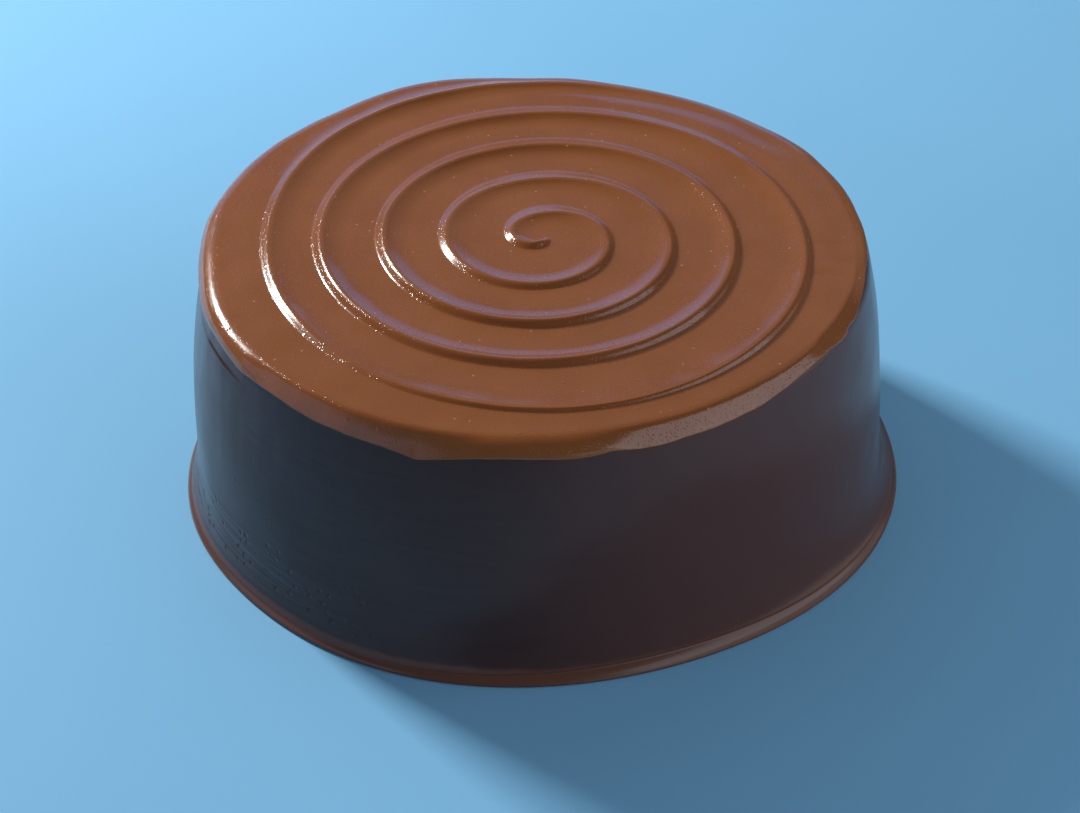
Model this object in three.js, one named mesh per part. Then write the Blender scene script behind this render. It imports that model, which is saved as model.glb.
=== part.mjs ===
// A round chocolate layer cake, coated all over: a spiral combed into its top, a thin lip where the
// top coat folds over the edge, a wall that narrows upwards and a low foot where the coat pools.
// Millimetres, +Z up. The base rests at Z = 0, the axis of the wall is Z and the front faces -Y.
import * as THREE from "three";
import { mergeVertices } from "three/addons/utils/BufferGeometryUtils.js";

const TURN = 2 * Math.PI;
const { clamp, degToRad: degrees, euclideanModulo, lerp, mapLinear, radToDeg } = THREE.MathUtils;
const smooth = (from, to, x) => THREE.MathUtils.smoothstep(x, from, to);

// Heights and radii of the whole cake.
const TOP_LEVEL = 79.6; // flats between the ridges of the spiral
const WALL_RADIUS = 106.3; // wall at its base, without its flare
const WALL_TAPER = 7.5; // how much narrower the wall is at TAPER_HEIGHT
const TAPER_HEIGHT = 80;
const TAPER_POWER = 2.95; // the wall narrows mostly near its top
const SHOULDER_RADIUS = 5.5; // rounding between the top and the wall
const FLARE_HEIGHT = 5.4; // the wall spreads out to the foot over about this height
const BASE_SHIFT = new THREE.Vector2(-1.2, 0); // the wall stands off the middle of its foot by this
const FOOT_RADIUS = 110.5;
const FOOT_ROUND = 0.7; // height of the foot's widest line
const FOOT_TUCK = 0.5; // the foot draws in this much at the base
const FOOT_BULGE = 0.3;
const FOOT_STEP = 1.1; // how far the foot stands out from the crease
const FOOT_STEP_FRONT = 2.7; // and in front on the right
const CREASE_HEIGHT = 2.2; // line between the wall and the foot
const CREASE_RISE = 1.6; // it lies this much higher in front on the right
const FRONT = { angle: degrees(292), width: degrees(42) };

// The spiral, counted in turns out from its middle. It winds clockwise seen from above.
const SPIRAL_CENTRE = new THREE.Vector2(0.2, 2.5);
const SPIRAL_PITCH = 19.25;
const SPIRAL_PHASE = 1.17; // turns at which the spiral crosses +X
const START_TURN = 0.21;
const START_GROWTH = 25.1; // the first turn opens faster, in millimetres a turn
const HOOK_RADIUS = 1.24; // and its first quarter is a tight hook
const HOOK_GROWTH = 9.2;
const OVAL_SHARE = 0.02; // the spiral is this much longer from front to back
const OVAL_ANGLE = degrees(92);
const DRIFT = new THREE.Vector2(3.4, -1.5); // the last whole turn lies off the middle by this
const DRIFT_TURNS = [3.7, 4.5, 4.66, 4.84]; // where that begins, is whole, eases and ends

// The ridge along the spiral, with a gentle side towards the middle and a steep side away from it.
const RIDGE_HEIGHT = 1.8;
const INNER_HEIGHT = 0.76; // share of that height on the inner turns
const FULL_TURNS = [1.7, 2.5]; // turns over which the ridge reaches its full height
const INNER_SLOPE = 8.2; // width of the gentle side
const INNER_SLOPE_BACK = 6.8; // and at the back
const STEEP_SLOPE = 2.6; // width of the other side where it is steepest
const EASED_SLOPE = 3.2; // elsewhere
const BACK_SLOPE = 5.8; // and at the back
const STEEPEST = { angle: degrees(300), width: degrees(65) };
const BACK = { angle: degrees(92), width: degrees(48) };
const INNER_MOST = 0.53; // shares of a narrow strip that the two sides may take
const OUTER_MOST = 0.46;
const HEEL = 2; // the gentle side steepens up to the crest
const HEEL_BACK = 2.6;
const STEEP_TOE = 1.4; // above 1 the outer side is steepest near its toe
const EASED_TOE = 1.05;
const FULL_WIDTH = 6.5; // a narrower strip has a lower ridge
const RIDGE_RISES = [0.05, 0.42]; // turns over which the ridge grows from nothing
const RIDGE_FADES = [4.92, 5.04]; // turns over which it runs out at the edge
// Where the knife eased off: the turn, its spread in turns and the share of the ridge lost.
const EASED_OFF = [{ turn: 4.4, spread: 0.11, lost: 0.48 }];
const LOWER = [
  // and where the ridge is lower, but no narrower
  ...EASED_OFF,
  { turn: 4.64, spread: 0.12, lost: 0.3 },
  { turn: 4.52, spread: 0.05, lost: 0.45 },
];
const FLAT_HOLLOW = 0.06; // the flats dip this much in their middle
const HOLLOW_TURNS = [1, 1.6];
const DROOP = 0.6; // the coat sinks this much at the end of the flat
const DROOP_WIDTH = 11;
const LEVEL = { angle: degrees(312), width: degrees(28) }; // where it stays level
const SUNK = { angle: degrees(65), width: degrees(30), size: 0.4 }; // and where it sinks further

// The lip: the top coat ends on the wall in a thin, uneven edge.
const COAT = 0.8;
const LIP_BEAD = 0.25; // the coat is thicker just above its edge
const BEAD_REACH = [1, 3]; // the bead is whole this close to the edge, and gone this far from it
const LIP_ROUND = [-0.1, 0.4]; // the edge rounds off over this stretch
const LIP_EDGE = [
  // angle around the cake in degrees, and the distance from the end of the flat along the surface
  [20, 5], [60, 6.5], [100, 7], [140, 7.5], [170, 8.5], [197, 9.3], [205, 8.7], [212, 9], [222, 8.3],
  [231, 9.1], [244, 9.5], [250, 11], [256, 9.5], [260, 8.5], [266, 8], [276, 8.6], [281, 7.6],
  [287, 8.7], [293, 8.5], [300, 8.3], [308, 7.8], [313, 6.9], [318, 6], [328, 5.5], [332, 6.6],
  [335, 5.4], [338, 5.8], [343, 4.7], [350, 4.1],
];

// The flat faces that the knife left on the lip, in degrees around the cake.
const FACE_SHARE = 0.95; // how nearly flat they are
const FACES = [
  { begins: [212, 220], ends: [254, 263] },
  { begins: [278, 286], ends: [350, 359] },
];
const FACE_START = 2.1; // distance from the end of the flat to a face
const FACE_START_RIGHT = 0.8; // and on the right
const FACE_WIDENS = [322, 330];

// Hand-spread unevenness: each wave has an amplitude, a count around the cake and a phase.
const RIM_WAVES = [
  { size: 2.43, count: 1, phase: degrees(-154.7) },
  { size: 0.6, count: 3, phase: degrees(-345) },
];
const RIM_BUMPS = [
  { angle: degrees(20), width: degrees(5), size: 0.6 },
  { angle: degrees(34), width: degrees(9), size: 1.4 },
  { angle: degrees(60), width: degrees(25), size: 0.9 },
  { angle: degrees(74), width: degrees(12), size: -1.1 },
  { angle: degrees(93), width: degrees(6), size: -1.2 },
  { angle: degrees(112), width: degrees(14), size: 3.9 },
  { angle: degrees(145), width: degrees(20), size: 1.6 },
  { angle: degrees(168), width: degrees(8), size: 0.6 },
  { angle: degrees(186), width: degrees(10), size: -0.7 },
];
const WALL_WAVES = [
  { size: 0.22, count: 6, phase: 1.0 },
  { size: 0.14, count: 11, phase: 2.6 },
];
const WALL_WAVE_FADES = [0.5, 0.95]; // shares of the height over which the wall's waves die out
const BASE_BUMPS = [
  { angle: degrees(11), width: degrees(15), size: -1.15 },
  { angle: degrees(168), width: degrees(14), size: -2.2 },
  { angle: degrees(202), width: degrees(15), size: 1.2 },
  { angle: degrees(240), width: degrees(26), size: 2.2 },
  { angle: degrees(297), width: degrees(25), size: -2.2 },
];
const WALL_DENTS = [
  { angle: degrees(2), width: degrees(14), size: -1.0 },
  { angle: degrees(192), width: degrees(14), size: -1.0 },
];
const FOOT_WAVES = [
  { size: 0.45, count: 2, phase: 0.6 },
  { size: 0.3, count: 4, phase: 1.9 },
];
const CREASE_WAVES = [{ size: 0.2, count: 3, phase: 2.2 }];

// How finely the surface is divided.
const COLUMNS = 90; // around one turn
const LAST_TURN = 6.2; // far enough out to pass the edge of the flat all round
const FLAT_ROWS = 2; // rows across the strip: over the flat, the gentle side and the steep side
const INNER_ROWS = 3;
const OUTER_ROWS = 3;
const ROWS = FLAT_ROWS + INNER_ROWS + OUTER_ROWS;
const NARROW = 3.5; // a strip narrower than this has no points between its sides
const LIP_ROWS = [-2.2, -1.2, -0.5, -0.12, 0.1, 1.6, 3.2]; // millimetres before and after the lip's edge
const WALL_ROWS = 8;
const WALL_ROW_POWER = 1.8; // rows crowd towards the flare
const FOOT_ROWS = 4;
const RIM_PASSES = 4; // rounds in which a ray finds the end of the flat
const WELD = 1e-4; // points closer than this become one

// 1 at one place around the cake, dying away to both sides of it.
function near(angle, place) {
  const apart = euclideanModulo(angle - place.angle + Math.PI, TURN) - Math.PI;
  return Math.exp(-((apart / place.width) ** 2));
}
const bump = (bumps, angle) => bumps.reduce((sum, b) => sum + b.size * near(angle, b), 0);
const wave = (waves, angle) =>
  waves.reduce((sum, w) => sum + w.size * Math.cos(w.count * angle + w.phase), 0);
const WHOLE = radToDeg(TURN);
const around = (angle) => euclideanModulo(radToDeg(angle), WHOLE);

// The wall under the coat, and the round shoulder that joins it to the flat.
const wallRadius = (z) => WALL_RADIUS - WALL_TAPER * (z / TAPER_HEIGHT) ** TAPER_POWER;
const wallTilt = (z) =>
  Math.atan(((WALL_TAPER * TAPER_POWER) / TAPER_HEIGHT) * (z / TAPER_HEIGHT) ** (TAPER_POWER - 1));
const SHOULDER_LEVEL = TOP_LEVEL - COAT - SHOULDER_RADIUS;
const JOIN_TILT = wallTilt(SHOULDER_LEVEL);
const JOIN_LEVEL = SHOULDER_LEVEL + SHOULDER_RADIUS * Math.sin(JOIN_TILT);
const FLAT_RADIUS = wallRadius(JOIN_LEVEL) - SHOULDER_RADIUS * Math.cos(JOIN_TILT);
const SHOULDER_LENGTH = SHOULDER_RADIUS * (Math.PI / 2 - JOIN_TILT);

// Radius, height and the tilt of the surface `along` millimetres from the end of the flat.
function underCoat(along) {
  if (along < SHOULDER_LENGTH) {
    const tilt = Math.PI / 2 - along / SHOULDER_RADIUS;
    return {
      radius: FLAT_RADIUS + SHOULDER_RADIUS * Math.cos(tilt),
      height: SHOULDER_LEVEL + SHOULDER_RADIUS * Math.sin(tilt),
      tilt,
    };
  }
  const height = JOIN_LEVEL - (along - SHOULDER_LENGTH) * Math.cos(JOIN_TILT);
  return { radius: wallRadius(height), height, tilt: wallTilt(height) };
}

// Distance from the end of the flat to the lip's edge, between the two nearest places in the table.
function lipReach(angle) {
  const [firstAngle, firstReach] = LIP_EDGE[0];
  const [lastAngle, lastReach] = LIP_EDGE.at(-1);
  const table = [[lastAngle - WHOLE, lastReach], ...LIP_EDGE, [firstAngle + WHOLE, firstReach]];
  const next = table.findIndex(([place]) => place > around(angle));
  const [fromAngle, fromReach] = table[next - 1];
  const [toAngle, toReach] = table[next];
  return mapLinear(around(angle), fromAngle, toAngle, fromReach, toReach);
}

// Where the lip's flat face lies in one column, and how nearly flat it is there.
function lipFace(angle) {
  const here = around(angle);
  const within = ({ begins, ends }) => smooth(...begins, here) * (1 - smooth(...ends, here));
  return {
    from: lerp(FACE_START, FACE_START_RIGHT, smooth(...FACE_WIDENS, here)),
    to: lipReach(angle),
    share: FACE_SHARE * FACES.reduce((sum, face) => sum + within(face), 0),
  };
}

// The surface under the coat, with that face.
function shoulder(along, face) {
  const rounded = underCoat(along);
  const past = (along - face.from) / (face.to - face.from);
  if (past <= 0 || past >= 1) return rounded;
  const top = underCoat(face.from);
  const edge = underCoat(face.to);
  const tilt = Math.atan2(edge.radius - top.radius, top.height - edge.height);
  return {
    radius: lerp(rounded.radius, lerp(top.radius, edge.radius, past), face.share),
    height: lerp(rounded.height, lerp(top.height, edge.height, past), face.share),
    tilt: lerp(rounded.tilt, tilt, face.share),
  };
}

// Step k along the spiral: COLUMNS steps make one turn.
const spiralAngle = (k) => -TURN * (euclideanModulo(k, COLUMNS) / COLUMNS - SPIRAL_PHASE);

function spiralRadius(k) {
  const turns = k / COLUMNS;
  const angle = spiralAngle(k);
  const opening = Math.max(START_GROWTH * (turns - START_TURN), HOOK_RADIUS + HOOK_GROWTH * turns);
  const even = Math.max(0, Math.min(SPIRAL_PITCH * turns, opening));
  const oval = 1 + OVAL_SHARE * Math.cos(2 * (angle - OVAL_ANGLE));
  const [begins, whole, eases, ends] = DRIFT_TURNS;
  const drift = smooth(begins, whole, turns) * (1 - smooth(eases, ends, turns));
  return even * oval + drift * (DRIFT.x * Math.cos(angle) + DRIFT.y * Math.sin(angle));
}

// Shares by which the ridge has eased from its steepest form, and has taken on its form at the back.
const eased = (turns) => 1 - near(-TURN * (turns - SPIRAL_PHASE), STEEPEST);
const behind = (turns) => near(-TURN * (turns - SPIRAL_PHASE), BACK);

// Share of the ridge that is left where the knife eased off.
const ridgeLeft = (places, turns) =>
  places.reduce(
    (rest, low) => rest * (1 - low.lost * Math.exp(-(((turns - low.turn) / low.spread) ** 2))),
    1,
  );

// Shares of the way across a strip at which its ridge begins to rise and has its crest. Where the
// knife eased off, the gentle side is longer and the steep one narrower.
function ridgePlaces(width, turns) {
  const sides = lerp(STEEP_SLOPE, EASED_SLOPE, eased(turns));
  const outer = (sides + (BACK_SLOPE - EASED_SLOPE) * behind(turns)) * ridgeLeft(EASED_OFF, turns);
  const inner = lerp(INNER_SLOPE, INNER_SLOPE_BACK, behind(turns)) / ridgeLeft(EASED_OFF, turns);
  const crest = 1 - Math.min(outer / width, OUTER_MOST);
  return { toe: crest - Math.min(inner / width, INNER_MOST), crest };
}

// Height above the flats, at a share of the way across the strip.
function ridgeHeight(share, turns, width) {
  const { toe, crest } = ridgePlaces(width, turns);
  const heel = lerp(1, lerp(HEEL, HEEL_BACK, behind(turns)), ridgeLeft(EASED_OFF, turns));
  const rise = clamp((share - toe) / (crest - toe), 0, 1) ** heel;
  const past = clamp((share - crest) / (1 - crest), 0, 1);
  const rounded = 1 - smooth(0, 1, past ** lerp(STEEP_TOE, EASED_TOE, eased(turns)));
  const fall = lerp(rounded, 1 - past, behind(turns)); // straight at the back
  const grown = smooth(...RIDGE_RISES, turns) * (1 - smooth(...RIDGE_FADES, turns));
  const full = lerp(INNER_HEIGHT, 1, smooth(...FULL_TURNS, turns));
  const size = RIDGE_HEIGHT * full * grown * ridgeLeft(LOWER, turns) * smooth(0, FULL_WIDTH, width);
  const dip = share < toe ? Math.sin((Math.PI * share) / toe) ** 2 : 0;
  return size * Math.min(rise, fall) - FLAT_HOLLOW * dip * smooth(...HOLLOW_TURNS, turns);
}

// How far the coat has sunk, `left` millimetres before the end of the flat.
function droop(left, angle) {
  const most = DROOP * (1 - near(angle, LEVEL)) + bump([SUNK], angle);
  return most * (1 - smooth(0, DROOP_WIDTH, left));
}

// Places across a strip: evenly over the flat, over the gentle side and over the steep side.
function stripShares(width, turns) {
  const { toe, crest } = ridgePlaces(width, turns);
  return Array.from({ length: ROWS + 1 }, (_, row) => {
    if (row <= FLAT_ROWS) return (toe * row) / FLAT_ROWS;
    const past = row - FLAT_ROWS;
    if (past <= INNER_ROWS) return lerp(toe, crest, past / INNER_ROWS);
    return lerp(crest, 1, (past - INNER_ROWS) / OUTER_ROWS);
  });
}

// The end of the flat on the ray that leaves the spiral's middle in the direction of step k.
function flatEnd(k) {
  const ray = new THREE.Vector2(Math.cos(spiralAngle(k)), Math.sin(spiralAngle(k)));
  const lean = SPIRAL_CENTRE.dot(ray);
  let point = ray.clone();
  let reach = 0;
  for (let pass = 0; pass < RIM_PASSES; pass++) {
    const radius = FLAT_RADIUS + wave(RIM_WAVES, point.angle()) + bump(RIM_BUMPS, point.angle());
    reach = Math.sqrt(lean * lean - SPIRAL_CENTRE.lengthSq() + radius * radius) - lean;
    point = SPIRAL_CENTRE.clone().addScaledVector(ray, reach);
  }
  let step = k;
  while (spiralRadius(step) < reach) step += COLUMNS;
  const inner = spiralRadius(step - COLUMNS);
  const width = spiralRadius(step) - inner;
  const angle = point.angle();
  const lift = ridgeHeight((reach - inner) / width, step / COLUMNS, width) - droop(0, angle);
  return { ray, reach, angle, lift, end: new THREE.Vector3(point.x, point.y, TOP_LEVEL + lift) };
}
const EDGE = Array.from({ length: COLUMNS }, (_, k) => flatEnd(k));

// One row of points across the strip of step k, cut off at the end of the flat.
function stripRow(k) {
  const { ray, reach, angle, end } = EDGE[k % COLUMNS];
  const inner = spiralRadius(k - COLUMNS);
  const width = spiralRadius(k) - inner;
  const turns = k / COLUMNS;
  return stripShares(width, turns).map((share) => {
    const kept = width < NARROW && share > 0 ? 1 : share;
    const radius = inner + width * kept;
    if (radius >= reach) return end;
    return new THREE.Vector3(
      SPIRAL_CENTRE.x + ray.x * radius,
      SPIRAL_CENTRE.y + ray.y * radius,
      TOP_LEVEL + ridgeHeight(kept, turns, width) - droop(reach - radius, angle),
    );
  });
}

// The points of one column, from the end of the flat down to the base.
function sideColumn({ angle, lift, end }) {
  const rim = Math.hypot(end.x, end.y) - FLAT_RADIUS;
  const face = lipFace(angle);
  const edge = face.to;
  const at = (radius, height) =>
    new THREE.Vector3(radius * Math.cos(angle), radius * Math.sin(angle), height);
  const uneven = (height) => {
    const up = height / TOP_LEVEL;
    const moved = BASE_SHIFT.x * Math.cos(angle) + BASE_SHIFT.y * Math.sin(angle);
    const base = moved + bump(BASE_BUMPS, angle) + bump(WALL_DENTS, angle);
    const swell = wave(WALL_WAVES, angle + up) * (1 - smooth(...WALL_WAVE_FADES, up));
    return lerp(base, rim, up) + swell;
  };
  const column = [end];

  const lipPoint = (along) => {
    const { radius, height, tilt } = shoulder(along, face);
    const left = edge - along;
    const bead = LIP_BEAD * (1 - smooth(...BEAD_REACH, left)) * (1 - face.share);
    const coat = left < 0 ? 0 : (COAT + bead) * Math.sqrt(smooth(...LIP_ROUND, left));
    const raised = lift * (1 - smooth(0, SHOULDER_LENGTH, along));
    return at(
      radius + coat * Math.cos(tilt) + uneven(height),
      height + coat * Math.sin(tilt) + raised,
    );
  };
  const lipTop = edge + LIP_ROWS[0];
  for (const along of [face.from / 2, face.from, (face.from + lipTop) / 2]) column.push(lipPoint(along));
  for (const offset of LIP_ROWS) column.push(lipPoint(edge + offset));

  const inFront = near(angle, FRONT);
  const crease = CREASE_HEIGHT + wave(CREASE_WAVES, angle) + CREASE_RISE * inFront;
  const foot = FOOT_RADIUS + wave(FOOT_WAVES, angle) + bump(BASE_BUMPS, angle);
  const creaseRadius = foot - lerp(FOOT_STEP, FOOT_STEP_FRONT, inFront);
  const flare = creaseRadius - wallRadius(crease) - uneven(crease);
  const wallTop = underCoat(edge + LIP_ROWS.at(-1)).height;
  for (let row = 1; row <= WALL_ROWS; row++) {
    const height = lerp(crease, wallTop, (1 - row / WALL_ROWS) ** WALL_ROW_POWER);
    const spread = flare * Math.exp((crease - height) / FLARE_HEIGHT);
    column.push(at(wallRadius(height) + uneven(height) + spread, height));
  }
  for (let row = 1; row <= FOOT_ROWS; row++) {
    const past = row / FOOT_ROWS;
    const bulge = FOOT_BULGE * Math.sin(Math.PI * past);
    column.push(at(lerp(creaseRadius, foot, past) + bulge, lerp(crease, FOOT_ROUND, past)));
  }
  column.push(at(foot - FOOT_TUCK, 0));
  return column;
}

// Two triangles for each cell between neighbouring rows, leaving out any that has shrunk to a line.
function weave(rows, corners) {
  const add = (a, b, c) => {
    if (!a.equals(b) && !b.equals(c) && !c.equals(a)) corners.push(a, b, c);
  };
  for (let i = 0; i + 1 < rows.length; i++) {
    for (let j = 0; j + 1 < rows[i].length; j++) {
      add(rows[i][j], rows[i + 1][j], rows[i + 1][j + 1]);
      add(rows[i][j], rows[i + 1][j + 1], rows[i][j + 1]);
    }
  }
}

function cakeGeometry() {
  const corners = [];
  const strip = [];
  for (let k = 0; k <= LAST_TURN * COLUMNS; k++) strip.push(stripRow(k));
  weave(strip, corners);

  const columns = EDGE.map(sideColumn);
  columns.push(columns[0]);
  weave(columns, corners);

  const middle = new THREE.Vector3(0, 0, 0);
  for (let k = 0; k < COLUMNS; k++) corners.push(columns[k].at(-1), columns[k + 1].at(-1), middle);
  return mergeVertices(new THREE.BufferGeometry().setFromPoints(corners), WELD);
}

const icing = new THREE.MeshStandardMaterial({ color: "#7a4d36", roughness: 0.35, metalness: 0 });
const cake = new THREE.Mesh(cakeGeometry(), icing);
cake.name = "iced_cake";
cake.geometry.computeVertexNormals();

const part = new THREE.Group();
part.name = "layer_cake";
part.add(cake);
export default part;
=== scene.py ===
# %% [markdown]
# # A chocolate layer cake
#
# The cake exists already as a plain solid of the right size. That solid is loaded here as a frame,
# and this lesson builds a finer skin in its place: a spiral combed into the top coat, a thin lip
# folded over the edge, and a dark wall that spreads into a low foot. Then the skin gets its
# chocolate, the studio gets its lamps, and the camera goes where the cake was seen from.

# %% Load the frame
import math

import bpy
import numpy as np
from mathutils import Matrix, Vector


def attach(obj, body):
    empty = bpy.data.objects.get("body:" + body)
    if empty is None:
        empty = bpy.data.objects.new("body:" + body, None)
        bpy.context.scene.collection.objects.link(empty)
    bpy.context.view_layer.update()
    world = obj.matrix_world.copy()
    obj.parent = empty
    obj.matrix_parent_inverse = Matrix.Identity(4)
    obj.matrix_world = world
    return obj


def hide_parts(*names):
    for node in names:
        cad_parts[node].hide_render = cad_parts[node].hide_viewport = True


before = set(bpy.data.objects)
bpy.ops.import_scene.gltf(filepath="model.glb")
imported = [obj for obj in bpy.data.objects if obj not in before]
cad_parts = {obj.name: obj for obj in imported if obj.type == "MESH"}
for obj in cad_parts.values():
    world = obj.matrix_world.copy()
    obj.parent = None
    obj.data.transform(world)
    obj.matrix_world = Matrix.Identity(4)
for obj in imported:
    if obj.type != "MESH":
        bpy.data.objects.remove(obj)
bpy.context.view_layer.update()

# %% [markdown]
# ## Curves that all the shapes share
#
# A hand-spread cake has no hard changes, so nearly every form here is a soft step, a soft bump or a
# few ripples around the rim. A few short functions give all of them. They work on whole numpy
# arrays, because a skin with a hundred thousand corners is slow to place one by one.

# %% Soft step, soft bump, ripples
TURN = 2 * math.pi
degrees = math.radians


def smooth(start, end, x):
    """0 before start, 1 after end, and an even S between them."""
    share = np.clip((x - start) / (end - start), 0, 1)
    return share * share * (3 - 2 * share)


def near(angle, middle, width):
    """1 at one angle around the cake, dying away to both sides of it."""
    apart = (angle - middle + math.pi) % TURN - math.pi
    return np.exp(-((apart / width) ** 2))


def bumps(parts, angle):
    """Bumps around the cake. Each part has an angle and a width in degrees, and a size."""
    return sum(size * near(angle, degrees(middle), degrees(width)) for middle, width, size in parts)


def ripples(parts, angle):
    """Ripples around the cake. Each part has a height, a count and a phase."""
    return sum(height * np.cos(count * angle + phase) for height, count, phase in parts)


print("a soft step runs", smooth(0, 4, np.arange(5)).round(2))

# %% Marks of the hand
SEED = 11
draw = np.random.default_rng(SEED)


def hand_marks(count, shortest, longest, height, spread=TURN):
    """Faint ripples over a surface, of mixed lengths. A small spread makes them upright."""
    length = draw.uniform(shortest, longest, count)
    heading = draw.uniform(-spread / 2, spread / 2, count)
    phase = draw.uniform(0, TURN, count)

    def mark(u, v):
        total = 0
        for wave in range(count):
            run = u * math.cos(heading[wave]) + v * math.sin(heading[wave])
            total = total + np.cos(TURN * run / length[wave] + phase[wave])
        return height * total / math.sqrt(count)

    return mark


print("all marks of the hand are drawn from seed", SEED)

# %% [markdown]
# ## The wall and the shoulder
#
# The cake narrows a little towards its top, mostly in the upper third, and spreads where it meets
# its foot. A rounded shoulder joins the wall to the flat top. The profile could be drawn as a curve
# and spun with a Screw modifier, but the rim wanders from a true circle, so the profile is a
# function instead and each column of the skin asks it for its own radius. All lengths are in
# millimetres until the mesh is made.

# %% Profile of the cake under its top coat
TOP_LEVEL = 79.6
COAT = 0.8
WALL_RADIUS, WALL_TAPER, TAPER_HEIGHT, TAPER_POWER = 106.3, 7.5, 80, 2.95
SHOULDER_RADIUS = 5.5


def wall_radius(height):
    return WALL_RADIUS - WALL_TAPER * (height / TAPER_HEIGHT) ** TAPER_POWER


def wall_tilt(height):
    slope = WALL_TAPER * TAPER_POWER / TAPER_HEIGHT
    return np.arctan(slope * (height / TAPER_HEIGHT) ** (TAPER_POWER - 1))


SHOULDER_LEVEL = TOP_LEVEL - COAT - SHOULDER_RADIUS
JOIN_TILT = wall_tilt(SHOULDER_LEVEL)
JOIN_LEVEL = SHOULDER_LEVEL + SHOULDER_RADIUS * math.sin(JOIN_TILT)
FLAT_RADIUS = wall_radius(JOIN_LEVEL) - SHOULDER_RADIUS * math.cos(JOIN_TILT)
SHOULDER_LENGTH = SHOULDER_RADIUS * (math.pi / 2 - JOIN_TILT)


def under_coat(along):
    """Radius, height and tilt of the surface, measured along it from the end of the flat."""
    turned = math.pi / 2 - along / SHOULDER_RADIUS
    below = JOIN_LEVEL - (along - SHOULDER_LENGTH) * math.cos(JOIN_TILT)
    on_shoulder = along < SHOULDER_LENGTH
    radius = FLAT_RADIUS + SHOULDER_RADIUS * np.cos(turned)
    height = SHOULDER_LEVEL + SHOULDER_RADIUS * np.sin(turned)
    return (
        np.where(on_shoulder, radius, wall_radius(below)),
        np.where(on_shoulder, height, below),
        np.where(on_shoulder, turned, wall_tilt(below)),
    )


print("the flat is", round(2 * FLAT_RADIUS, 1), "mm across, the wall", round(2 * WALL_RADIUS, 1))

# %% [markdown]
# ## The spiral
#
# A small knife was held in the soft coat while the cake turned under it. That leaves one ridge that
# winds outwards, with a gentle slope on its inner side, a round crest and a steep outer side. At the
# back its outer side is wider and straight, and in front the knife eased off for a moment. A
# displacement texture would blur the crisp foot of that ridge. Here the top is laid as one long
# strip that follows the spiral, so its edges run along the ridge and a few rows give a clean form.

# %% Path of the spiral
COLUMNS = 430  # steps around one turn
SPIRAL_CENTRE = np.array([0.2, 2.5])
SPIRAL_PITCH = 19.25
SPIRAL_PHASE = 1.17  # turns at which it crosses the right-hand side
START_TURN, START_GROWTH = 0.21, 25.1  # the first turn opens faster
HOOK_RADIUS, HOOK_GROWTH = 1.24, 9.2  # and its first quarter is a tight hook
OVAL_SHARE, OVAL_ANGLE = 0.02, degrees(92)
DRIFT = (3.4, -1.5)  # the last whole turn lies off the middle
DRIFT_TURNS = (3.7, 4.5, 4.66, 4.84)  # where that begins, is whole, eases and ends


def turn_angle(turns):
    """Angle around the cake that the ridge has reached after these turns."""
    return -TURN * (turns - SPIRAL_PHASE)


def spiral_angle(step):
    return turn_angle((step % COLUMNS) / COLUMNS)


def spiral_radius(step):
    turns = step / COLUMNS
    angle = spiral_angle(step)
    opening = np.maximum(START_GROWTH * (turns - START_TURN), HOOK_RADIUS + HOOK_GROWTH * turns)
    even = np.minimum(SPIRAL_PITCH * turns, opening).clip(0)
    oval = 1 + OVAL_SHARE * np.cos(2 * (angle - OVAL_ANGLE))
    begins, whole, eases, ends = DRIFT_TURNS
    drift = smooth(begins, whole, turns) * (1 - smooth(eases, ends, turns))
    return even * oval + drift * (DRIFT[0] * np.cos(angle) + DRIFT[1] * np.sin(angle))


print("radius after each turn:", spiral_radius(np.arange(1, 6) * COLUMNS).round(1))

# %% Where the ridge begins and where its crest is
INNER_SLOPE, INNER_SLOPE_BACK = 8.2, 6.8  # widths of its inner side
STEEP_SLOPE, EASED_SLOPE, BACK_SLOPE = 2.6, 3.2, 5.8  # and of its outer side
INNER_MOST, OUTER_MOST = 0.53, 0.46  # shares of a narrow strip that they may take
STEEP_ANGLE, STEEP_WIDTH = degrees(300), degrees(65)  # steepest in front on the right
BACK_ANGLE, BACK_WIDTH = degrees(92), degrees(48)
EASED_OFF = [(4.4, 0.11, 0.48)]  # where the knife eased off: turn, spread, share lost
NO_WIDTH = 1e-6  # a strip narrower than this is squeezed to nothing


def eased(turns):
    """0 where the outer side is steepest, rising to 1 on both sides of that."""
    return 1 - near(turn_angle(turns), STEEP_ANGLE, STEEP_WIDTH)


def behind(turns):
    """1 at the back of the cake, dying away to both sides of it."""
    return near(turn_angle(turns), BACK_ANGLE, BACK_WIDTH)


def kept(parts, turns):
    """Share of the ridge that is left where the knife eased off."""
    share = 1
    for middle, spread, lost in parts:
        share = share * (1 - lost * np.exp(-(((turns - middle) / spread) ** 2)))
    return share


def ridge_places(width, turns):
    """Shares of the way across the strip where the ridge begins and where its crest is."""
    width = np.maximum(width, NO_WIDTH)
    left = kept(EASED_OFF, turns)
    outer_slope = STEEP_SLOPE + (EASED_SLOPE - STEEP_SLOPE) * eased(turns)
    outer_slope = outer_slope + (BACK_SLOPE - EASED_SLOPE) * behind(turns)
    inner_slope = INNER_SLOPE + (INNER_SLOPE_BACK - INNER_SLOPE) * behind(turns)
    crest = 1 - np.minimum(outer_slope * left / width, OUTER_MOST)
    return crest - np.minimum(inner_slope / left / width, INNER_MOST), crest


TRIED_TURN = 3  # a whole turn, for the values that are printed
begins, crests = ridge_places(SPIRAL_PITCH, TRIED_TURN)
print("the ridge begins", begins.round(2), "of the way across and has its crest at", crests.round(2))

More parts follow.
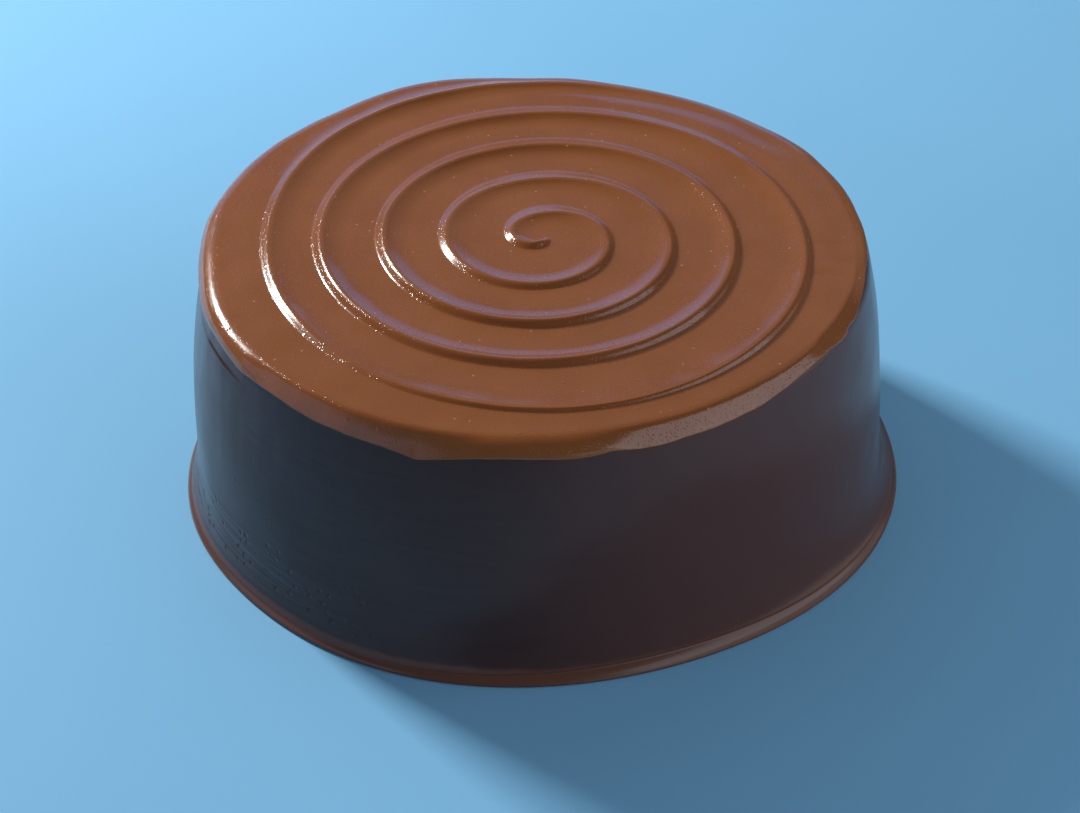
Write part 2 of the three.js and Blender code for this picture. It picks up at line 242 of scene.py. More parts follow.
# %% Height of the ridge across the strip
RIDGE_HEIGHT = 1.8
HEEL, HEEL_BACK = 2, 2.6  # powers: the inner side steepens up to the crest
STEEP_TOE, EASED_TOE = 1.4, 1.05  # powers: above 1 the outer side is steepest near its toe
FULL_WIDTH = 6.5  # a narrower strip has a lower ridge
INNER_HEIGHT, FULL_TURNS = 0.76, (1.7, 2.5)  # and the inner turns are lower too
LOWER = EASED_OFF + [(4.64, 0.12, 0.3), (4.52, 0.05, 0.45)]  # lower there, but no narrower
RIDGE_RISES, RIDGE_FADES = (0.05, 0.42), (4.92, 5.04)  # in turns
FLAT_HOLLOW, HOLLOW_TURNS = 0.06, (1, 1.6)  # the flats are a little hollow
comb_wobble = hand_marks(count=6, shortest=0.5, longest=2.2, height=0.04)  # lengths in turns


def ridge_height(share, turns, width):
    """Height above the flat, at a share of the way across the strip."""
    toe, crest = ridge_places(width, turns)
    heel = 1 + (HEEL - 1 + (HEEL_BACK - HEEL) * behind(turns)) * kept(EASED_OFF, turns)
    rise = np.clip((share - toe) / (crest - toe), 0, 1) ** heel
    toe_power = STEEP_TOE + (EASED_TOE - STEEP_TOE) * eased(turns)
    past = np.clip((share - crest) / (1 - crest), 0, 1)
    fall = 1 - smooth(0, 1, past**toe_power)
    fall = fall + (1 - past - fall) * behind(turns)  # straight at the back
    grown = smooth(*RIDGE_RISES, turns) * (1 - smooth(*RIDGE_FADES, turns))
    grown = grown * kept(LOWER, turns)
    grown = grown * (INNER_HEIGHT + (1 - INNER_HEIGHT) * smooth(*FULL_TURNS, turns))
    size = RIDGE_HEIGHT * (1 + comb_wobble(turns, 0)) * smooth(0, FULL_WIDTH, width)
    dip = np.where(share < toe, np.sin(math.pi * share / toe) ** 2, 0)
    return size * np.minimum(rise, fall) * grown - FLAT_HOLLOW * dip * smooth(*HOLLOW_TURNS, turns)


TRIED_PLACES = 2000
tried = ridge_height(np.linspace(0, 1, TRIED_PLACES + 1), TRIED_TURN, SPIRAL_PITCH)
steepest = np.gradient(tried, SPIRAL_PITCH / TRIED_PLACES).min()
print("the ridge's outer side stands at", round(math.degrees(math.atan(-steepest))), "degrees")

# %% Marks of the knife on the flats
DRAGS = [(-1, 87, 0.22), (-12, 85, 0.22), (-7, 89, 0.12)]  # angle in degrees, radius, depth
DRAG_LENGTH, DRAG_WIDTH = 5, 1.6
soft_marks = hand_marks(count=12, shortest=9, longest=30, height=0.04)


def flat_marks(x, y):
    """Soft unevenness of the flats, and a few short drags of the knife near the right-hand rim."""
    total = soft_marks(x, y)
    for angle, far, depth in DRAGS:
        out_x, out_y = math.cos(degrees(angle)), math.sin(degrees(angle))
        along = x * out_x + y * out_y - far
        across = y * out_x - x * out_y
        total = total - depth * np.exp(-((along / DRAG_LENGTH) ** 2) - (across / DRAG_WIDTH) ** 2)
    return total


print("the knife dragged", len(DRAGS), "times near the rim")

# %% [markdown]
# ## Where the flat ends
#
# The strip is cut off where the flat meets the shoulder, and that line is not a true circle: it
# wanders by a few millimetres, as the hand that spread the coat did. A Boolean modifier could cut
# it, but leaves slivers that show in a glossy skin. So each column looks outwards from the middle of
# the spiral until it meets that line. The last point is shared by the top and by the side below it,
# and the skin closes without a seam.

# %% Line of the rim, and how the coat sinks towards it
RIM_RIPPLES = [(2.43, 1, degrees(-154.7)), (0.6, 3, degrees(-345))]
RIM_BUMPS = [
    (20, 5, 0.6), (34, 9, 1.4), (60, 25, 0.9), (74, 12, -1.1), (93, 6, -1.2), (112, 14, 3.9),
    (145, 20, 1.6), (168, 8, 0.6), (186, 10, -0.7),
]
DROOP, DROOP_WIDTH = 0.6, 11  # the coat sinks a little towards the rim
LEVEL_ANGLE, LEVEL_WIDTH = degrees(312), degrees(28)  # but not in front on the right
SUNK, SUNK_ANGLE, SUNK_WIDTH = 0.4, degrees(65), degrees(30)  # and more at the back on the right


def rim_radius(angle):
    return FLAT_RADIUS + ripples(RIM_RIPPLES, angle) + bumps(RIM_BUMPS, angle)


def droop(left, angle):
    """How far the flat has sunk, `left` millimetres before its end."""
    most = DROOP * (1 - near(angle, LEVEL_ANGLE, LEVEL_WIDTH))
    most = most + SUNK * near(angle, SUNK_ANGLE, SUNK_WIDTH)
    return most * (1 - smooth(0, DROOP_WIDTH, left))


print("at the back on the right the coat sinks by", droop(0, SUNK_ANGLE).round(2), "mm")

# %% End of the flat in every column
RIM_PASSES = 4  # each pass starts from the angle that the one before it found
columns = np.arange(COLUMNS)
rays = np.stack([np.cos(spiral_angle(columns)), np.sin(spiral_angle(columns))], 1)
lean = rays @ SPIRAL_CENTRE
ends = rays.copy()
for _ in range(RIM_PASSES):
    rim = rim_radius(np.arctan2(ends[:, 1], ends[:, 0]))
    reach = np.sqrt(lean**2 - SPIRAL_CENTRE @ SPIRAL_CENTRE + rim**2) - lean
    ends = SPIRAL_CENTRE + rays * reach[:, None]
side_angle = np.arctan2(ends[:, 1], ends[:, 0])
print("the flat ends", rim.min().round(1), "to", rim.max().round(1), "mm from the axis")

# %% Height of that end
cut_step = columns.copy()
while (spiral_radius(cut_step) < reach).any():
    cut_step = np.where(spiral_radius(cut_step) < reach, cut_step + COLUMNS, cut_step)
cut_inner = spiral_radius(cut_step - COLUMNS)
cut_width = spiral_radius(cut_step) - cut_inner
cut_share = (reach - cut_inner) / cut_width
end_height = ridge_height(cut_share, cut_step / COLUMNS, cut_width)
end_height = end_height + flat_marks(ends[:, 0], ends[:, 1]) - droop(0, side_angle)
print("its end lies", end_height.min().round(2), "to", end_height.max().round(2), "mm up")

# %% [markdown]
# ## The strip
#
# The whole top is one strip that starts at the middle and winds out past the rim. A grid of squares
# would cross the ridge at every angle and show steps in the glints. Across the strip the rows are
# spread over the flat, the inner slope and the outer side, so the ridge has most of them. Points
# that would lie past the end of the flat become that end.

# %% Lay the strip
LAST_TURN = 6.2
NARROW = 1.2  # a strip narrower than this has no points between its sides
SNAP = 0.15  # a point this close to the end of the flat becomes that end
FLAT_ROWS, INNER_ROWS, OUTER_ROWS = 5, 8, 9
ROWS = FLAT_ROWS + INNER_ROWS + OUTER_ROWS
MIDDLE, FIRST_END = 0, 1  # places in the list of points


def strip_shares(width, turns):
    """Places across the strip: evenly over the flat, the inner slope and the outer side."""
    toe, crest = ridge_places(width, turns)
    marks = [0, FLAT_ROWS, FLAT_ROWS + INNER_ROWS, ROWS]
    return np.interp(np.arange(ROWS + 1), marks, [0, toe, crest, 1])


points = [(*SPIRAL_CENTRE, TOP_LEVEL + flat_marks(*SPIRAL_CENTRE))]
points += [(x, y, TOP_LEVEL + z) for (x, y), z in zip(ends, end_height)]
strip = {}
for step in range(int(LAST_TURN * COLUMNS) + 1):
    column, turns = step % COLUMNS, step / COLUMNS
    inner = spiral_radius(step - COLUMNS)
    width = spiral_radius(step) - inner
    shares = strip_shares(width, turns)
    radius = inner + width * shares
    spot = SPIRAL_CENTRE + rays[column] * radius[:, None]
    level = TOP_LEVEL + ridge_height(shares, turns, width) + flat_marks(spot[:, 0], spot[:, 1])
    level = level - droop(reach[column] - radius, side_angle[column])
    row = [strip[step - COLUMNS][-1] if step - COLUMNS in strip else MIDDLE]
    for j in range(1, ROWS + 1):
        if width < NO_WIDTH:
            row.append(MIDDLE)
        elif radius[j] > reach[column] - SNAP:
            row.append(FIRST_END + column)
        elif width < NARROW and j < ROWS:
            row.append(None)
        else:
            points.append((*spot[j], level[j]))
            row.append(len(points) - 1)
    strip[step] = [row[-1] if index is None else index for index in row]
print("the top has", len(points), "points")

# %% [markdown]
# ## The lip
#
# The top coat runs over the shoulder and stops on the wall in a thin edge, a little lower on the
# left, torn in a few places and stepped on the right. On the far left it thins out above a low ledge
# in the wall, and in front on the left and on the right the knife pressed its shoulder into a flat
# face. The edge is a distance along the surface for each angle around the cake. A sculpted edge would
# look as good once, but a function can be corrected angle by angle.

# %% Edge of the lip
LIP_EDGE = {
    20: 5.0, 60: 6.5, 100: 7.0, 140: 7.5, 170: 8.5, 197: 9.3, 203: 8.75, 206.5: 8.65, 212: 9.0,
    216: 8.7, 221.5: 8.25, 226.5: 8.7, 231: 9.1, 238.5: 9.3, 244: 9.55, 250: 11.0, 252.5: 10.4,
    255.5: 9.5, 260: 8.45, 263.5: 8.1, 266.5: 8.0, 273: 8.45, 276: 8.6, 279: 8.05, 281: 7.6,
    285.5: 8.6, 289: 8.8, 292.5: 8.5, 300: 8.3, 304: 8.0, 308: 7.8, 313: 6.9, 318: 5.95,
    323.5: 5.65, 328: 5.5, 329.5: 6.15, 332: 6.6, 334: 6.4, 335: 5.3, 338: 5.85, 340: 5.7,
    343: 4.75, 349: 4.1, 355: 4.05,
}  # degrees around the cake: millimetres over the edge
LIP_FRAY = [(0.05, 37, 1.9), (0.04, 61, 4.0)]


def lip_reach(angle):
    over = np.interp(np.degrees(angle), list(LIP_EDGE), list(LIP_EDGE.values()), period=360)
    return over + ripples(LIP_FRAY, angle)


lip_edge = lip_reach(side_angle)
print("the lip hangs", lip_edge.min().round(1), "to", lip_edge.max().round(1), "mm over the edge")

# %% Flat faces that the knife left on the lip
FACES = [((212, 220), (254, 263)), ((278, 286), (350, 359))]  # begins and ends, in degrees
FACE_SHARE = 0.95  # how much of the rounding the knife took away
FACE_START, FACE_START_RIGHT, FACE_WIDENS = 2.1, 0.8, (322, 330)

around = np.degrees(side_angle) % 360
face_start = FACE_START + (FACE_START_RIGHT - FACE_START) * smooth(*FACE_WIDENS, around)
pressed = [smooth(*begins, around) * (1 - smooth(*stops, around)) for begins, stops in FACES]
faced = sum(pressed) * FACE_SHARE
print("the knife's faces take in", np.count_nonzero(faced > 0), "of", COLUMNS, "columns")

# %% Thickness of the coat near its edge
LIP_BEAD, BEAD_REACH = 0.25, (1, 3)
LIP_ROUND = 0.35
LIP_THINS, THIN_REACH = 0.8, 3  # the lip is thin above the ledge
LEDGE_ANGLE, LEDGE_WIDTH = degrees(204), degrees(14)
by_ledge = near(side_angle, LEDGE_ANGLE, LEDGE_WIDTH) ** 2


def coat_depth(left):
    """How far the coat stands out, `left` millimetres before its edge, or past it where negative."""
    thin = 1 - LIP_THINS * by_ledge * (1 - smooth(0, THIN_REACH, left))
    bead = LIP_BEAD * (1 - smooth(*BEAD_REACH, left)) * (1 - faced)
    full = (COAT + bead) * thin
    round_off = np.sqrt(1 - (1 - np.clip(left / LIP_ROUND, 0, 1)) ** 2)
    return np.where(left >= 0, full * round_off, 0)


edge = coat_depth(LIP_ROUND)
print("at its edge the coat is", edge.min().round(2), "to", edge.max().round(2), "mm thick")

# %% [markdown]
# ## The side, from the shoulder to the foot
#
# Each column of the skin runs down from the end of the flat: over the shoulder with the coat's
# thickness on it, round the lip's edge, down the wall, into the crease and out over the foot, where
# the dark coat pooled. A Subdivision modifier would round the lip's thin edge away. Instead the rows
# are crowded where the surface turns fast and lie far apart on the wall.

# %% Foot and crease
FOOT_RADIUS, FOOT_ROUND, FOOT_TUCK, FOOT_BULGE = 110.5, 0.7, 0.5, 0.3
FOOT_RIPPLES = [(0.45, 2, 0.6), (0.3, 4, 1.9)]
FOOT_STEP, FOOT_STEP_FRONT = 1.1, 2.7  # how far the foot stands out from the crease
FRONT_ANGLE, FRONT_WIDTH = degrees(292), degrees(42)
BASE_BUMPS = [(11, 15, -1.15), (168, 14, -2.2), (202, 15, 1.2), (240, 26, 2.2), (297, 25, -2.2)]
CREASE_HEIGHT, CREASE_DEPTH, CREASE_RIPPLES = 2.2, 0.1, [(0.2, 3, 2.2)]
CREASE_RISE = 1.6  # higher in front on the right

in_front = near(side_angle, FRONT_ANGLE, FRONT_WIDTH)
foot = FOOT_RADIUS + ripples(FOOT_RIPPLES, side_angle) + bumps(BASE_BUMPS, side_angle)
groove = foot - FOOT_STEP - (FOOT_STEP_FRONT - FOOT_STEP) * in_front
crease = CREASE_HEIGHT + ripples(CREASE_RIPPLES, side_angle) + CREASE_RISE * in_front
print("the foot reaches", foot.min().round(1), "to", foot.max().round(1), "mm from the axis")

# %% Unevenness of the wall
WALL_RIPPLES = [(0.22, 6, 1.0), (0.14, 11, 2.6)]
WALL_RIPPLE_FADES, MARKS_RISE = (0.5, 0.95), (0.02, 0.15)  # shares of the cake's height
BASE_SHIFT = -1.2  # the wall stands a little to the left of the middle of its foot
WALL_DENTS = [(2, 14, -1.0), (192, 14, -1.0)]
LEDGE_DEPTH, LEDGE_DROP, LEDGE_EDGE, LEDGE_FADES = 0.5, 3.5, 0.5, (1, 14)  # below the lip
STREAK_ANGLE, STREAK_WIDTH = degrees(215), degrees(40)
STREAK_RISES, STREAK_LEAST = (0.35, 0.75), 0.25
wall_marks = hand_marks(count=10, shortest=12, longest=40, height=0.06)
streaks = hand_marks(count=14, shortest=3.5, longest=15, height=0.03, spread=degrees(36))
by_streaks = STREAK_LEAST + near(side_angle, STREAK_ANGLE, STREAK_WIDTH)
wall_rim = np.hypot(ends[:, 0], ends[:, 1]) - FLAT_RADIUS
ledge_height = under_coat(lip_edge + LEDGE_DROP)[1]


def uneven(height):
    """How far the wall stands out from its true circle."""
    up = height / TOP_LEVEL
    swell = ripples(WALL_RIPPLES, side_angle + up) * (1 - smooth(*WALL_RIPPLE_FADES, up))
    shift = BASE_SHIFT * np.cos(side_angle) + bumps(BASE_BUMPS + WALL_DENTS, side_angle)
    spot = side_angle * WALL_RADIUS, height
    marks = wall_marks(*spot) * smooth(*MARKS_RISE, up)
    marks = marks + streaks(*spot) * (smooth(*STREAK_RISES, up) * by_streaks)
    below = ledge_height - height
    ledge = LEDGE_DEPTH * smooth(-LEDGE_EDGE, LEDGE_EDGE, below) * (1 - smooth(*LEDGE_FADES, below))
    return wall_rim * up + shift * (1 - up) + swell + marks + ledge * by_ledge


halfway = uneven(TOP_LEVEL / 2)
print("halfway up, the wall strays by", halfway.min().round(1), "to", halfway.max().round(1), "mm")

# %% Rows over the shoulder and the lip
SHOULDER_ROWS = 12
LIP_ROWS = [-2.4, -1.9, -1.5, -1.15, -0.85, -0.6, -0.42, -0.27, -0.15, -0.06, -0.015]
LIP_ROWS += [0.0, 0.12, 0.3, 0.55, 0.9, 1.4, 2.0, 2.6, 3.0, 3.2, 3.4, 3.6, 3.8, 4.0, 4.4]


def shoulder(along):
    """The surface under the coat, with the flat faces that the knife left on it."""
    rounded = under_coat(along)
    first, last = under_coat(face_start), under_coat(lip_edge)
    share = (along - face_start) / (lip_edge - face_start)
    face_tilt = np.arctan2(last[0] - first[0], first[1] - last[1])
    face = [a + (b - a) * share for a, b in zip(first[:2], last[:2])] + [face_tilt]
    on_face = np.where((share > 0) & (share < 1), faced, 0)
    return [a + (b - a) * on_face for a, b in zip(rounded, face)]


def down(along):
    """One row around the shoulder and the lip."""
    radius, height, tilt = shoulder(along)
    coat = coat_depth(lip_edge - along)
    raised = end_height * (1 - smooth(0, SHOULDER_LENGTH, along))
    return radius + coat * np.cos(tilt) + uneven(height), height + coat * np.sin(tilt) + raised


rows = [down((lip_edge + LIP_ROWS[0]) * row / SHOULDER_ROWS) for row in range(1, SHOULDER_ROWS)]
rows += [down(lip_edge + past) for past in LIP_ROWS]
coat_rows = SHOULDER_ROWS - 1 + LIP_ROWS.index(0.0)  # rows of the top coat
print("the top coat has", coat_rows, "of", len(rows), "rows there")

# %% Rows down the wall and over the foot
WALL_ROWS, WALL_ROW_POWER, FOOT_ROWS = 60, 1.25, 10
FLARE_HEIGHT = 5.4
flare = groove - wall_radius(crease) - uneven(crease)


def wall(height):
    """Radius of the wall, with the flare that carries it smoothly out to the crease."""
    return wall_radius(height) + uneven(height) + flare * np.exp(-(height - crease) / FLARE_HEIGHT)


wall_top = under_coat(lip_edge + LIP_ROWS[-1])[1]
for row in range(1, WALL_ROWS + 1):
    left = (1 - row / WALL_ROWS) ** WALL_ROW_POWER
    height = crease + CREASE_DEPTH + (wall_top - crease - CREASE_DEPTH) * left
    rows.append((wall(height), height))

for row in range(FOOT_ROWS + 1):
    share = row / FOOT_ROWS
    bulge = FOOT_BULGE * math.sin(math.pi * share)
    from_crease = groove - CREASE_DEPTH * (1 - share)
    height = crease - (crease - FOOT_ROUND) * share
    rows.append((from_crease + (foot - groove) * share + bulge, height))
rows.append((foot - FOOT_TUCK, np.zeros(COLUMNS)))
print("the side has", len(rows), "rows of", COLUMNS, "points")

# %% [markdown]
# ## One closed skin
#
# The strip, the side and the base become one mesh with shared points, so light runs over them
# without a break and the cake could be printed as it is. Separate pieces would be quicker to make,
# but would show a line where they meet. The strip is squeezed to nothing where it starts and where
# it is cut off, so cells that have lost a corner become triangles, and cells that have lost two are
# left out.

# %% Faces
first_side = len(points)
for radius, height in rows:
    points += zip(radius * np.cos(side_angle), radius * np.sin(side_angle), height)
side = [FIRST_END + columns]
side += [first_side + row * COLUMNS + columns for row in range(len(rows))]
base_middle = len(points)
points.append((0, 0, 0))

faces = []


def add_cell(*corners):
    distinct = [c for i, c in enumerate(corners) if c != corners[i - 1]]
    if len(set(distinct)) == len(distinct) > 2:
        faces.append(distinct)


steps = sorted(strip)
for here, there in zip(steps, steps[1:]):
    for j in range(ROWS):
        add_cell(strip[here][j], strip[there][j], strip[there][j + 1], strip[here][j + 1])
for row, (upper, lower) in enumerate(zip(side, side[1:])):
    if row == coat_rows + 1:
        first_wall_face = len(faces)
    for k in range(COLUMNS):
        add_cell(upper[k], upper[(k + 1) % COLUMNS], lower[(k + 1) % COLUMNS], lower[k])
for k in range(COLUMNS):
    add_cell(side[-1][k], side[-1][(k + 1) % COLUMNS], base_middle)
print("the skin has", len(faces), "faces")

# %% Mesh and object
MILLIMETRE = 0.001
mesh = bpy.data.meshes.new("iced_cake_skin")
in_metres = [tuple(c * MILLIMETRE for c in point) for point in points]
mesh.from_pydata(in_metres, [], [[int(i) for i in face] for face in faces])
on_wall = [int(face >= first_wall_face) for face in range(len(faces))]
mesh.polygons.foreach_set("use_smooth", [True] * len(mesh.polygons))
mesh.polygons.foreach_set("material_index", on_wall)  # 0 is the milk coat, 1 the dark one
mesh.validate(verbose=True)
cake = bpy.data.objects.new("iced_cake_skin", mesh)
bpy.context.scene.collection.objects.link(cake)
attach(cake, "root")
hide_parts("iced_cake")
print("one piece of", len(mesh.vertices), "points and", len(mesh.polygons), "faces")

# %% [markdown]
# ## Writing shader sums as Python
#
# A material is a graph of nodes, and a graph typed node by node is hard to read. This class holds
# one output of a node. Sums on it add Math nodes, so `1 - mask` is a node too, and `node` adds any
# other kind: its settings first, then values or links for its sockets.

# %% A wire that can be used in sums
class Wire:
    def __init__(self, socket):
        self.socket = socket
        self.tree = socket.id_data

    def node(self, kind, settings=None, inputs=None, out=0):
        made = self.tree.nodes.new(kind)
        for name, value in (settings or {}).items():
            setattr(made, name, value)
        for name, value in (inputs or {}).items():
            if isinstance(value, Wire):
                self.tree.links.new(value.socket, made.inputs[name])
            else:
                made.inputs[name].default_value = value
        return Wire(made.outputs[out])

    def math(self, operation, first, second):
        return self.node("ShaderNodeMath", {"operation": operation}, {0: first, 1: second})

    def __add__(self, other):
        return self.math("ADD", self, other)

    def __sub__(self, other):
        return self.math("SUBTRACT", self, other)

    def __rsub__(self, other):
        return self.math("SUBTRACT", other, self)

    def __mul__(self, other):
        return self.math("MULTIPLY", self, other)

    __radd__, __rmul__ = __add__, __mul__

    def step(self, start, end):
        """0 below start, 1 above end."""
        limits = {"Value": self, "From Min": start, "From Max": end}
        return self.node("ShaderNodeMapRange", {"interpolation_type": "SMOOTHSTEP"}, limits)

    def between(self, low, high):
        """The colour low where this is 0, and high where it is 1."""
        colours = {0: self, 6: low, 7: high}
        return self.node("ShaderNodeMix", {"data_type": "RGBA"}, colours, out=2)

    def noise(self, scale, detail=2, stretch=(1, 1, 1)):
        """Cloudy noise around 0.5. The scale is in waves a metre."""
        place = self.node("ShaderNodeVectorMath", {"operation": "MULTIPLY"}, {0: self, 1: stretch})
        cloudy = {"Vector": place, "Scale": scale, "Detail": detail}
        return self.node("ShaderNodeTexNoise", None, cloudy)


print("a wire has the methods", [name for name in vars(Wire) if not name.startswith("_")])

# %% [markdown]
# ## The milk-brown top
#
# The top is a milk-brown ganache with a satin skin. Close to, it has a fine grain that breaks up the
# glints, slow changes of tone and a few tiny air bubbles. Painting these on an image would need a
# flat map of the skin. Noise in the cake's own space needs none and has no seam.

# %% Start and finish of a coat
NOISE_MIDDLE, NOISE_LIMITS = 0.5, (0.3, 0.7)  # noise seldom leaves these limits
PICK_EDGE = 0.02


def new_coat(name, wearer):
    """Gives a mesh a new material. Returns its shader and the place on the mesh."""
    coat = bpy.data.materials.new(name)
    coat.use_nodes = True
    shader = next(n for n in coat.node_tree.nodes if n.type == "BSDF_PRINCIPLED")
    wearer.materials.append(coat)
    print(wearer.name, "wears", name)
    return shader, Wire(coat.node_tree.nodes.new("ShaderNodeTexCoord").outputs["Object"])


def specks(place, scale, edge, share):
    """Small domes at a share of many scattered places. The scale is in places a metre."""
    scatter = {"Vector": place, "Scale": scale}
    dome = 1 - place.node("ShaderNodeTexVoronoi", None, scatter, out="Distance").step(*edge)
    lot = place.node("ShaderNodeTexVoronoi", None, scatter, out="Color")
    return dome * lot.step(1 - share, 1 + PICK_EDGE - share)


def lay_coat(shader, colour, roughness, relief, depth, ior):
    """The relief is a height from 0 to 1, and the depth is in metres."""
    bump = colour.node("ShaderNodeBump", None, {"Height": relief, "Distance": depth})
    for wire, socket in ((colour, "Base Color"), (roughness, "Roughness"), (bump, "Normal")):
        colour.tree.links.new(wire.socket, shader.inputs[socket])
    shader.inputs["IOR"].default_value = ior
    print("that coat has", len(colour.tree.nodes), "nodes")


# %% Milk-brown coat
MILK, MILK_DEEP = (0.258, 0.079, 0.018, 1), (0.233, 0.070, 0.015, 1)
PALE_SPECK = (0.42, 0.21, 0.11, 1)
MILK_ROUGHNESS, CLOUD_ROUGHNESS = 0.14, 0.07
SUGAR_HEIGHT, MILK_DEPTH, MILK_IOR = 0.5, 0.00008, 1.5

shader, place = new_coat("milk_coat", mesh)
clouds = place.noise(scale=45, detail=3)
bubbles = specks(place, scale=170, edge=(0.02, 0.14), share=0.36)
sugar = specks(place, scale=1500, edge=(0.1, 0.45), share=0.5)
pale = specks(place, scale=240, edge=(0.05, 0.1), share=0.45)
milk = pale.between(clouds.step(*NOISE_LIMITS).between(MILK_DEEP, MILK), PALE_SPECK)
roughness = MILK_ROUGHNESS + CLOUD_ROUGHNESS * clouds
lay_coat(shader, milk, roughness, bubbles + SUGAR_HEIGHT * sugar, MILK_DEPTH, MILK_IOR)

# %% [markdown]
# ## The dark wall
#
# Below the lip the cake wears a darker, shinier glaze. A scraper went round it and left faint level
# lines, and small pits low down on the left where it dragged. At the very bottom the glaze has
# pooled together with the brown of the top, so the foot is lighter, up to an uneven line. The pits
# could be dents in the mesh, but they are finer than its columns, so they are relief in the glaze.

# %% Places on the wall
shader, place = new_coat("dark_coat", mesh)
height = place.node("ShaderNodeSeparateXYZ", None, {0: place}, out="Z")


def towards(angle):
    """How far a place lies out towards one angle around the cake."""
    way = {0: place, 1: (math.cos(angle), math.sin(angle), 0)}
    return place.node("ShaderNodeVectorMath", {"operation": "DOT_PRODUCT"}, way, out="Value")


# %% Colour of the dark coat
DARK, DARK_DEEP = (0.052, 0.021, 0.015, 1), (0.043, 0.017, 0.013, 1)
# painted light: the glaze is painted lighter and warmer towards the front right, where the panel and
# the fill light the wall
PAINTED_LIGHT, PAINTED_LIGHT_ANGLE, PAINTED_LIGHT_REACH = (0.088, 0.038, 0.029, 1), degrees(322), (0.04, 0.1)
POOLED = (0.118, 0.047, 0.029, 1)
POOL_TOP, POOL_WANDER = (0.0006, 0.0020), 0.0020
POOL_RISE, POOL_ANGLE, POOL_REACH = 0.0034, degrees(262), (-0.02, 0.06)  # higher in front
LEVEL_STRETCH = (1, 1, 16)

level_lines = place.noise(scale=30, detail=3, stretch=LEVEL_STRETCH)
blotches = place.noise(scale=110, detail=3)
pool_front = towards(POOL_ANGLE).step(*POOL_REACH)
pool_line = height + POOL_WANDER * (blotches - NOISE_MIDDLE) - POOL_RISE * pool_front
glaze = level_lines.step(*NOISE_LIMITS).between(DARK_DEEP, DARK)
# painted light on the wall's front right, over the glaze's own colour
glaze_with_painted_light = towards(PAINTED_LIGHT_ANGLE).step(*PAINTED_LIGHT_REACH).between(glaze, PAINTED_LIGHT)
dark = pool_line.step(*POOL_TOP).between(POOLED, glaze_with_painted_light)
print("the wall's colour takes", len(place.tree.nodes), "nodes")

# %% Relief of the dark coat
DRAGGED_ANGLE, DRAGGED_REACH = degrees(213), (0.088, 0.101)
DRAGGED_LOW, DRAGGED_HIGH = (0.005, 0.009), (0.019, 0.027)
LINE_HEIGHT, DRAGGED_LINE_HEIGHT, BUBBLE_HEIGHT, PIT_DEPTH = 0.1, 2.4, 0.5, 2
DARK_ROUGHNESS, LINE_ROUGHNESS = 0.17, 0.10
DARK_DEPTH, DARK_IOR = 0.00015, 1.42

dragged = towards(DRAGGED_ANGLE).step(*DRAGGED_REACH)
dragged = dragged * height.step(*DRAGGED_LOW) * (1 - height.step(*DRAGGED_HIGH))
pits = specks(place, scale=330, edge=(0.1, 0.34), share=0.55)
bubbles = specks(place, scale=170, edge=(0.02, 0.12), share=0.3)
relief = level_lines * (LINE_HEIGHT + DRAGGED_LINE_HEIGHT * dragged)
relief = relief + BUBBLE_HEIGHT * bubbles - PIT_DEPTH * pits * dragged
roughness = DARK_ROUGHNESS + LINE_ROUGHNESS * level_lines
lay_coat(shader, dark, roughness, relief, DARK_DEPTH, DARK_IOR)

# %% [markdown]
# ## The studio
#
# A pale blue floor and an even, faint sky. One soft lamp behind on the left gives the shadow and the
# glints along the ridges. It is a square of light rather than a sun, so that the glints have a width
# and the shadow a soft edge. In front on the right a panel shows as a grey band in every side that
# leans that way, a weaker one stands on the left, and a weak fill below lifts the wall. Behind the
# cake a pale veil lightens the flats, and a low blue glow lies along the ridges.

# %% Floor
FLOOR_HALF = 3.0
FLOOR_COLOUR, FLOOR_COLOUR_FAR = (0.20, 0.49, 0.74, 1), (0.192, 0.475, 0.72, 1)
FLOOR_ROUGHNESS = 0.8

floor_mesh = bpy.data.meshes.new("floor")
floor_corners = [(x * FLOOR_HALF, y * FLOOR_HALF, 0) for x, y in ((-1, -1), (1, -1), (1, 1), (-1, 1))]
floor_mesh.from_pydata(floor_corners, [], [(0, 1, 2, 3)])
floor = bpy.data.objects.new("floor", floor_mesh)
bpy.context.scene.collection.objects.link(floor)
shader, place = new_coat("pale_floor", floor_mesh)
tone = place.noise(scale=6).step(*NOISE_LIMITS).between(FLOOR_COLOUR, FLOOR_COLOUR_FAR)
place.tree.links.new(tone.socket, shader.inputs["Base Color"])
shader.inputs["Roughness"].default_value = FLOOR_ROUGHNESS

# %% Lamps
LAMP_TARGET = Vector((0, 0, 0.05))


def area_lamp(name, angle, rise, distance, size, power, colour=(1, 1, 1)):
    """A rectangle of light that looks at the cake, at an angle around it and a rise above it."""
    light = bpy.data.lights.new(name, "AREA")
    light.color = colour
    light.shape = "RECTANGLE"
    light.size, light.size_y = size
    light.energy = power
    lamp = bpy.data.objects.new(name, light)
    bpy.context.scene.collection.objects.link(lamp)
    angle, rise = degrees(angle), degrees(rise)
    level = math.cos(rise) * distance
    spot = Vector((level * math.cos(angle), level * math.sin(angle), math.sin(rise) * distance))
    turned = (LAMP_TARGET - spot).to_track_quat("-Z", "Y")
    lamp.matrix_world = Matrix.Translation(spot) @ turned.to_matrix().to_4x4()
    lamp.visible_camera = False
    print(name, "stands at", tuple(round(c, 2) for c in lamp.matrix_world.translation))


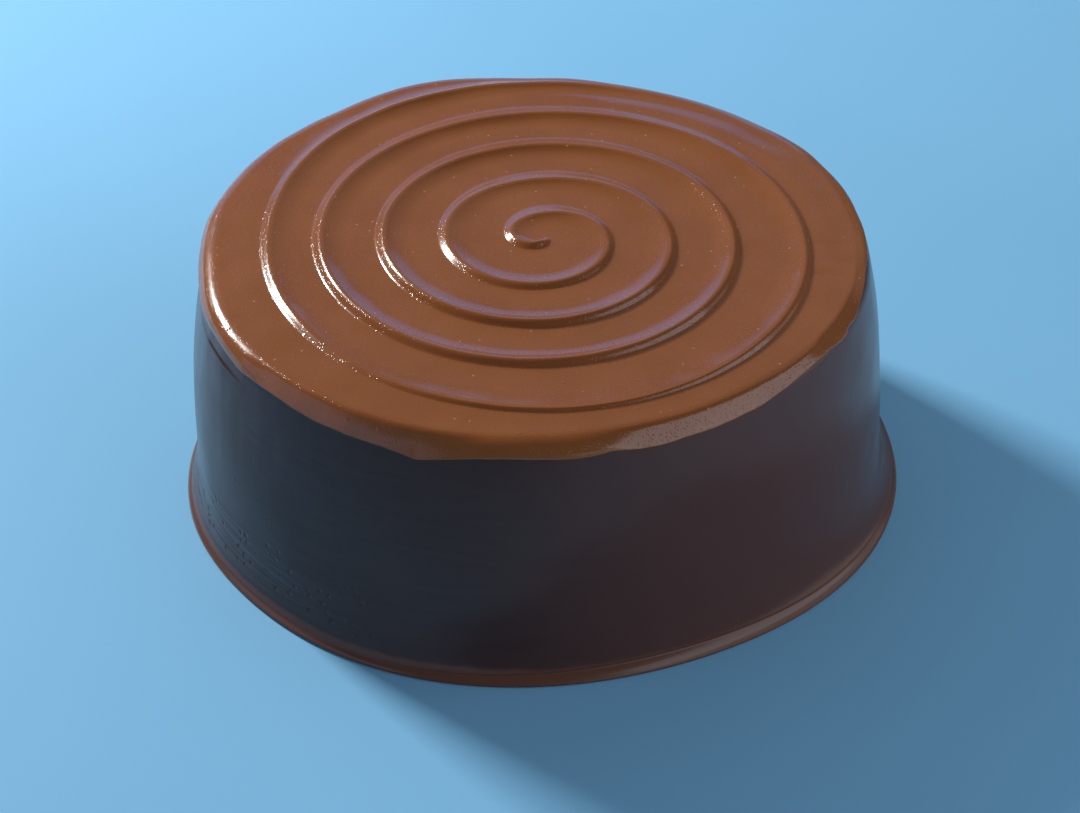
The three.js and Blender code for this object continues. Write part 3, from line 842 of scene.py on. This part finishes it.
area_lamp("lamp", angle=136, rise=33, distance=1.5, size=(0.26, 0.26), power=25.5)
area_lamp(
    "panel", angle=336, rise=34, distance=1.0, size=(1.26, 0.34), power=2.6,
    colour=(0.80, 0.86, 1.0),
)
area_lamp(
    "left_panel", angle=202, rise=20, distance=1.0, size=(1.2, 0.45), power=1.45,
    colour=(0.5, 0.6, 1.0),
)
area_lamp("fill", angle=335, rise=14, distance=0.8, size=(2.0, 0.45), power=1.9)
area_lamp("veil", angle=95, rise=48, distance=2.5, size=(4.0, 1.6), power=4)
area_lamp(
    "glow", angle=96, rise=12, distance=2.5, size=(1.85, 1.05), power=6.1,
    colour=(0.0, 0.38, 1.0),
)

# %% Sky
SKY_COLOUR, SKY_STRENGTH = (0.90, 0.94, 1.0, 1), 0.14

sky = bpy.data.worlds.new("sky")
sky.use_nodes = True
sky_shader = next(n for n in sky.node_tree.nodes if n.type == "BACKGROUND")
sky_shader.inputs["Color"].default_value = SKY_COLOUR
sky_shader.inputs["Strength"].default_value = SKY_STRENGTH
bpy.context.scene.world = sky
bpy.context.scene.view_settings.view_transform = "Standard"
print("the sky gives", SKY_STRENGTH, "all round")

# %% [markdown]
# ## The camera
#
# The cake was seen from about 36 degrees above the table, from a good distance with a long lens. A
# short lens from closer by would fill the frame as well, but a long one keeps the near and the far
# side of the spiral close in size.

# %% Camera
CAMERA_RISE, CAMERA_ROLL = degrees(36.18), degrees(-0.393)
CAMERA_TARGET, CAMERA_DISTANCE = Vector((-0.00058, 0, 0.01905)), 0.9613
CAMERA_LENS, SENSOR_WIDTH = 103.3, 36

camera_data = bpy.data.cameras.new("camera")
camera_data.lens = CAMERA_LENS
camera_data.sensor_width = SENSOR_WIDTH
camera = bpy.data.objects.new("camera", camera_data)
bpy.context.scene.collection.objects.link(camera)
back = Vector((0, -math.cos(CAMERA_RISE), math.sin(CAMERA_RISE)))
camera.matrix_world = (
    Matrix.Translation(CAMERA_TARGET + back * CAMERA_DISTANCE)
    @ Matrix.Rotation(math.pi / 2 - CAMERA_RISE, 4, "X")
    @ Matrix.Rotation(CAMERA_ROLL, 4, "Z")
)
bpy.context.scene.camera = camera
print("camera at", tuple(round(c, 3) for c in camera.location))

# %% [markdown]
# ## Sizes
#
